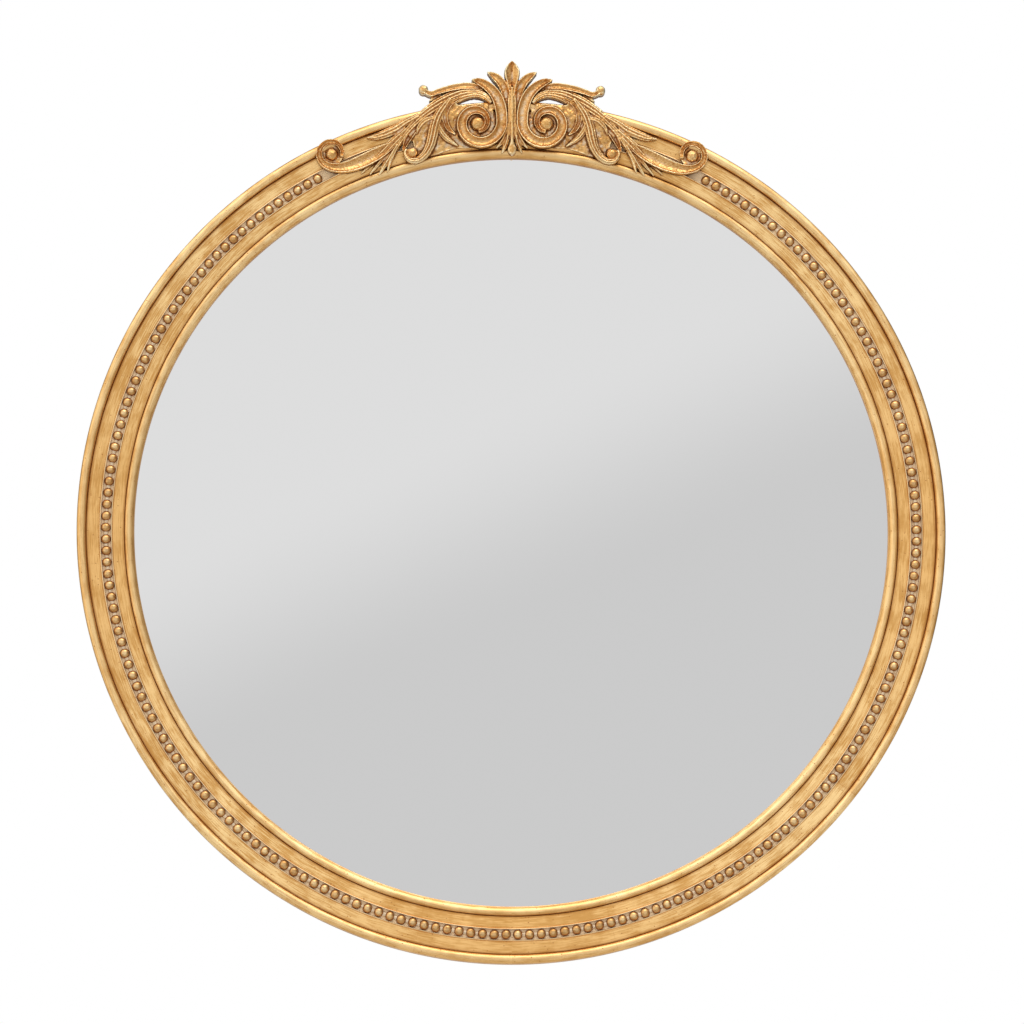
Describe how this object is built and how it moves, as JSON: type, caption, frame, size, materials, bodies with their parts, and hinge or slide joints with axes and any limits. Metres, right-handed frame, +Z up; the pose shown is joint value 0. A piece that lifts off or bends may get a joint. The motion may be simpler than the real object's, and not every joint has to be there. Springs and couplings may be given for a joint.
{
  "type": "round wall mirror",
  "caption": "Round gilt wall mirror with a beaded moulded frame, a pierced leaf-and-scroll crest and strap hangers with swinging D-rings.",
  "frame": {"origin": "centre of the ring, on the wall plane that the bumpers touch", "axes": "+Z up towards the crest, +Y into the wall, so the glass faces -Y; +X to the viewer's right"},
  "size_m": [0.7619, 0.0346, 0.798],
  "materials": {
    "frame_gilding": "worn gold leaf over red-brown ground on a turned moulding, satin",
    "bead_gilding": "gilt composition beads, browner in the hollows",
    "crest_gilding": "gilt castings, rubbed ridges, dark and chalky hollows",
    "silvered_glass": "flat silvered glass, polished",
    "packing": "thin white foam packing sheet",
    "board": "brown hardboard, smooth side in",
    "zinc_steel": "zinc-plated sheet and wire, dull",
    "screw_steel": "zinc-passivated screws, faintly yellow",
    "bumper_rubber": "black rubber, matte"
  },
  "bodies": {
    "root": {"frame_ring": "frame_gilding", "bead_string_left": "bead_gilding", "bead_string_right": "bead_gilding", "mirror_glass": "silvered_glass", "packing_sheet": "packing", "back_board": "board", "retainer_clips": "zinc_steel", "clip_screws": "screw_steel", "wall_bumpers": "bumper_rubber", "hanger_straps": "zinc_steel", "hanger_screws": "screw_steel", "crest_palmette": "crest_gilding", "crest_screws": "screw_steel", "volute_left": "crest_gilding", "volute_right": "crest_gilding", "top_scroll_left": "crest_gilding", "top_scroll_right": "crest_gilding", "acanthus_left": "crest_gilding", "acanthus_right": "crest_gilding", "bud_scroll_left": "crest_gilding", "bud_scroll_right": "crest_gilding", "end_scroll_left": "crest_gilding", "end_scroll_right": "crest_gilding"},
    "d_ring_left": {"d_ring_left": "zinc_steel"},
    "d_ring_right": {"d_ring_right": "zinc_steel"}
  },
  "joints": [
    {"name": "d_ring_left_swing", "type": "hinge", "parent": "root", "child": "d_ring_left", "pos_m": [-0.345, -0.0032, 0.11], "axis": [1, 0, 0], "range_deg": [0, 178]},
    {"name": "d_ring_right_swing", "type": "hinge", "parent": "root", "child": "d_ring_right", "pos_m": [0.345, -0.0032, 0.11], "axis": [1, 0, 0], "range_deg": [0, 178]}
  ]
}
